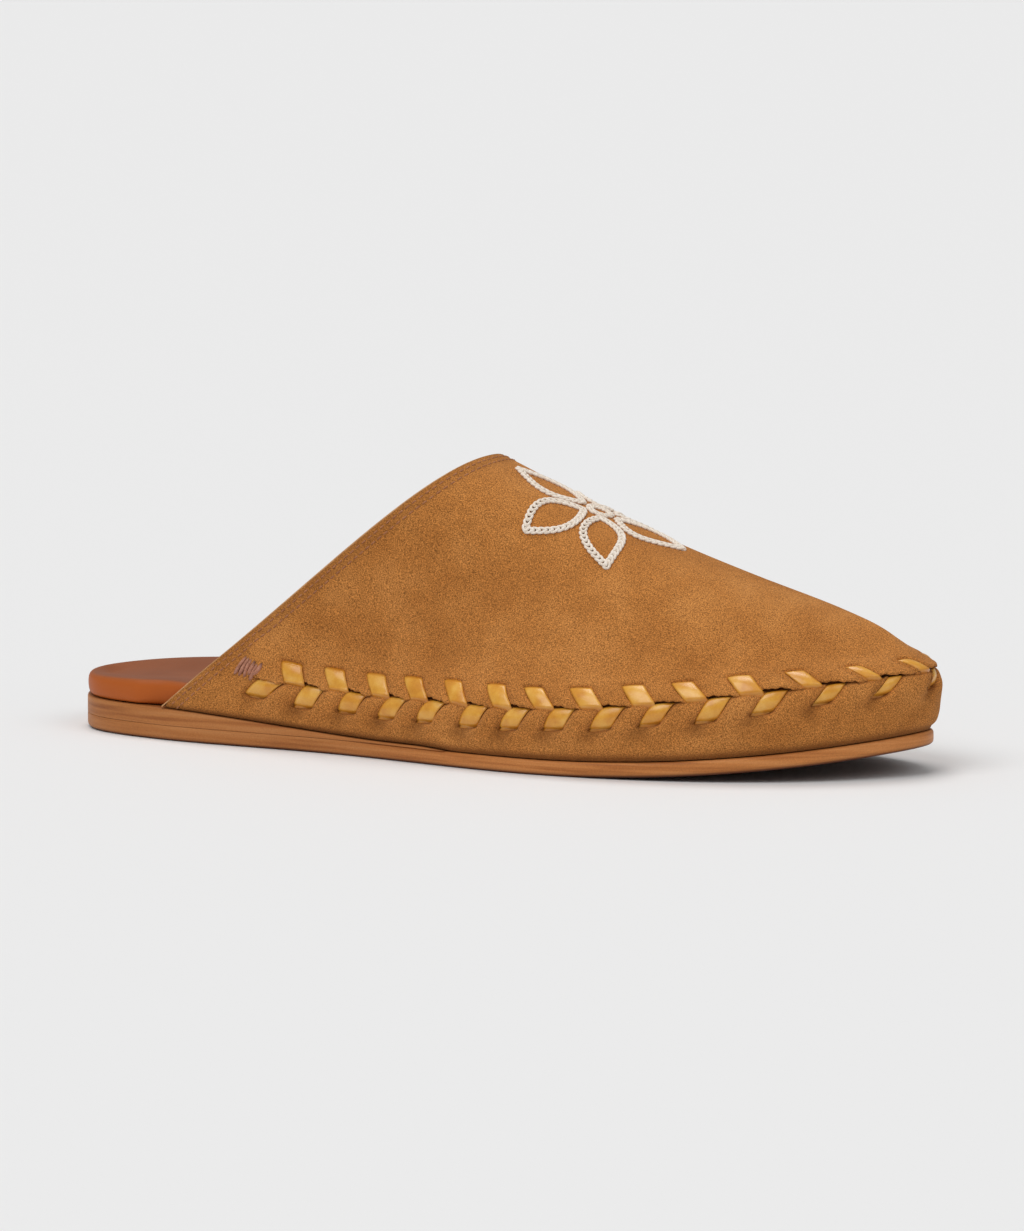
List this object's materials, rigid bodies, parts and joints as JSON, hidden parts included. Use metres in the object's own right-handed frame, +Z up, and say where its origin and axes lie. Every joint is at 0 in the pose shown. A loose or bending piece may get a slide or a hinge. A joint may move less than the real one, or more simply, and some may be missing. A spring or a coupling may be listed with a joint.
{
  "type": "mule",
  "caption": "Backless suede mule for the right foot with a low leather sole, a wrapped leather footbed and a flat leather thong laced along its moccasin seam.",
  "frame": {"origin": "on the floor, under the middle of the shoe's bounding box", "axes": "+X from heel to toe, +Y to the inner side of the foot, +Z up"},
  "size_m": [0.259, 0.0904, 0.0817],
  "materials": {
    "outsole": "natural sole leather, waxed edge",
    "heel_wedge": "stacked sole leather, waxed edge",
    "insole": "smooth chestnut lining leather",
    "upper": "tan suede with a short nap",
    "lacing": "smooth golden leather thong"
  },
  "bodies": {
    "root": {"outsole": "outsole", "heel_wedge": "heel_wedge", "insole": "insole", "upper": "upper", "lacing": "lacing"}
  },
  "joints": []
}
